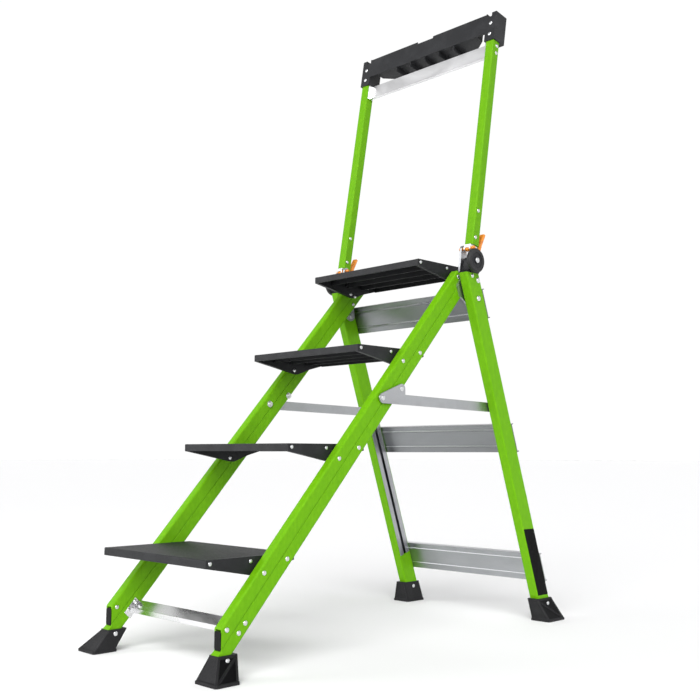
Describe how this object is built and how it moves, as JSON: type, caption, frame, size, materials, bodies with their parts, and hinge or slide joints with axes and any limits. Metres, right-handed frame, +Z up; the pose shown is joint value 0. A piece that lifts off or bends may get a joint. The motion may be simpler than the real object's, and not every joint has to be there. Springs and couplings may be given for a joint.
{
  "type": "folding step ladder",
  "caption": "Folding step ladder with deep treads, a folding handrail with a tool tray, spreader bars that slide in the rear legs, and tip wheels.",
  "frame": {"origin": "on the floor, midway across the ladder and midway from its front feet to its rear feet", "axes": "+Z up, +Y from the climber towards the rear legs, +X to the climber's right"},
  "size_m": [0.5808, 1.1928, 1.7062],
  "materials": {
    "green_fibreglass": "satin lime green pultruded fibreglass",
    "black_plastic": "fine moulded grain",
    "tread_plastic": "textured moulding",
    "black_rubber": "matt",
    "wheel_rubber": "matt",
    "aluminium": "mill finish",
    "steel": "zinc plated",
    "orange_plastic": "satin",
    "label_film": "satin film, blank"
  },
  "bodies": {
    "front_frame": {"front_rail_left": "green_fibreglass", "front_rail_right": "green_fibreglass", "rail_end_plugs": "black_plastic", "rail_top_caps": "black_plastic", "front_foot_left": "black_rubber", "front_foot_right": "black_rubber", "front_foot_bolts": "steel", "tread_1": "tread_plastic", "tread_2": "tread_plastic", "tread_3": "tread_plastic", "tread_4": "tread_plastic", "step_brackets_left": "black_plastic", "step_brackets_right": "black_plastic", "tread_rivets": "steel", "rail_rivets": "steel", "front_brace": "aluminium", "front_brace_rivets": "steel", "hinge_plate_left": "aluminium", "hinge_plate_right": "aluminium", "hinge_plate_rivets": "steel", "hinge_bolts": "steel", "hinge_washers": "black_plastic", "spreader_bolts": "steel", "catch_bolts": "steel"},
    "rear_frame": {"rear_leg_left": "green_fibreglass", "rear_leg_right": "green_fibreglass", "rear_foot_left": "black_rubber", "rear_foot_right": "black_rubber", "rear_foot_bolts": "steel", "rear_brace_top": "aluminium", "rear_brace_middle": "aluminium", "rear_brace_bottom": "aluminium", "rear_brace_rivets": "steel", "slide_track_left": "aluminium", "slide_track_right": "aluminium", "wheel_bracket_left": "black_plastic", "wheel_bracket_right": "black_plastic", "wheel_bracket_rivets": "steel", "wheel_axles": "steel", "leg_label": "label_film"},
    "handrail": {"upright_left": "green_fibreglass", "upright_right": "green_fibreglass", "tongue_left": "aluminium", "tongue_right": "aluminium", "handrail_head": "black_plastic", "handrail_brace": "aluminium", "handrail_rivets": "steel"},
    "spreader_bar_left": {"spreader_left": "aluminium", "spreader_pins_left": "steel"},
    "spreader_bar_right": {"spreader_right": "aluminium", "spreader_pins_right": "steel"},
    "lever_left": {"lock_lever_left": "orange_plastic", "lever_pin_left": "orange_plastic"},
    "lever_right": {"lock_lever_right": "orange_plastic", "lever_pin_right": "orange_plastic"},
    "wheel_left": {"wheel_tyre_left": "wheel_rubber", "wheel_hub_left": "black_plastic"},
    "wheel_right": {"wheel_tyre_right": "wheel_rubber", "wheel_hub_right": "black_plastic"}
  },
  "joints": [
    {"name": "rear_frame_fold", "type": "hinge", "parent": "front_frame", "child": "rear_frame", "pos_m": [0, 0.26173, 0.8722], "axis": [-1, 0, 0], "range_deg": [0, 61.4]},
    {"name": "spreader_left_turn", "type": "hinge", "parent": "front_frame", "child": "spreader_bar_left", "pos_m": [-0.2265, -0.00958, 0.61904], "axis": [-1, 0, 0], "range_deg": [0, 122.8]},
    {"name": "spreader_right_turn", "type": "hinge", "parent": "front_frame", "child": "spreader_bar_right", "pos_m": [0.2265, -0.00958, 0.61904], "axis": [-1, 0, 0], "range_deg": [0, 122.8]},
    {"name": "handrail_fold", "type": "hinge", "parent": "front_frame", "child": "handrail", "pos_m": [0, 0.24123, 1.0077], "axis": [1, 0, 0], "range_deg": [0, 145]},
    {"name": "lever_left_turn", "type": "hinge", "parent": "handrail", "child": "lever_left", "pos_m": [-0.245, 0.24123, 1.0077], "axis": [-1, 0, 0], "range_deg": [0, 25], "stiffness_Nm_per_rad": 0.05, "springref_deg": -34.38},
    {"name": "lever_right_turn", "type": "hinge", "parent": "handrail", "child": "lever_right", "pos_m": [0.245, 0.24123, 1.0077], "axis": [-1, 0, 0], "range_deg": [0, 25], "stiffness_Nm_per_rad": 0.05, "springref_deg": -34.38},
    {"name": "wheel_left_spin", "type": "hinge", "parent": "rear_frame", "child": "wheel_left", "pos_m": [-0.2715, 0.23517, 0.96986], "axis": [1, 0, 0], "continuous": true},
    {"name": "wheel_right_spin", "type": "hinge", "parent": "rear_frame", "child": "wheel_right", "pos_m": [0.2715, 0.23517, 0.96986], "axis": [1, 0, 0], "continuous": true}
  ],
  "couplings": [
    {"joint": "spreader_left_turn", "follows": "rear_frame_fold", "ratio": 2},
    {"joint": "spreader_right_turn", "follows": "rear_frame_fold", "ratio": 2}
  ]
}
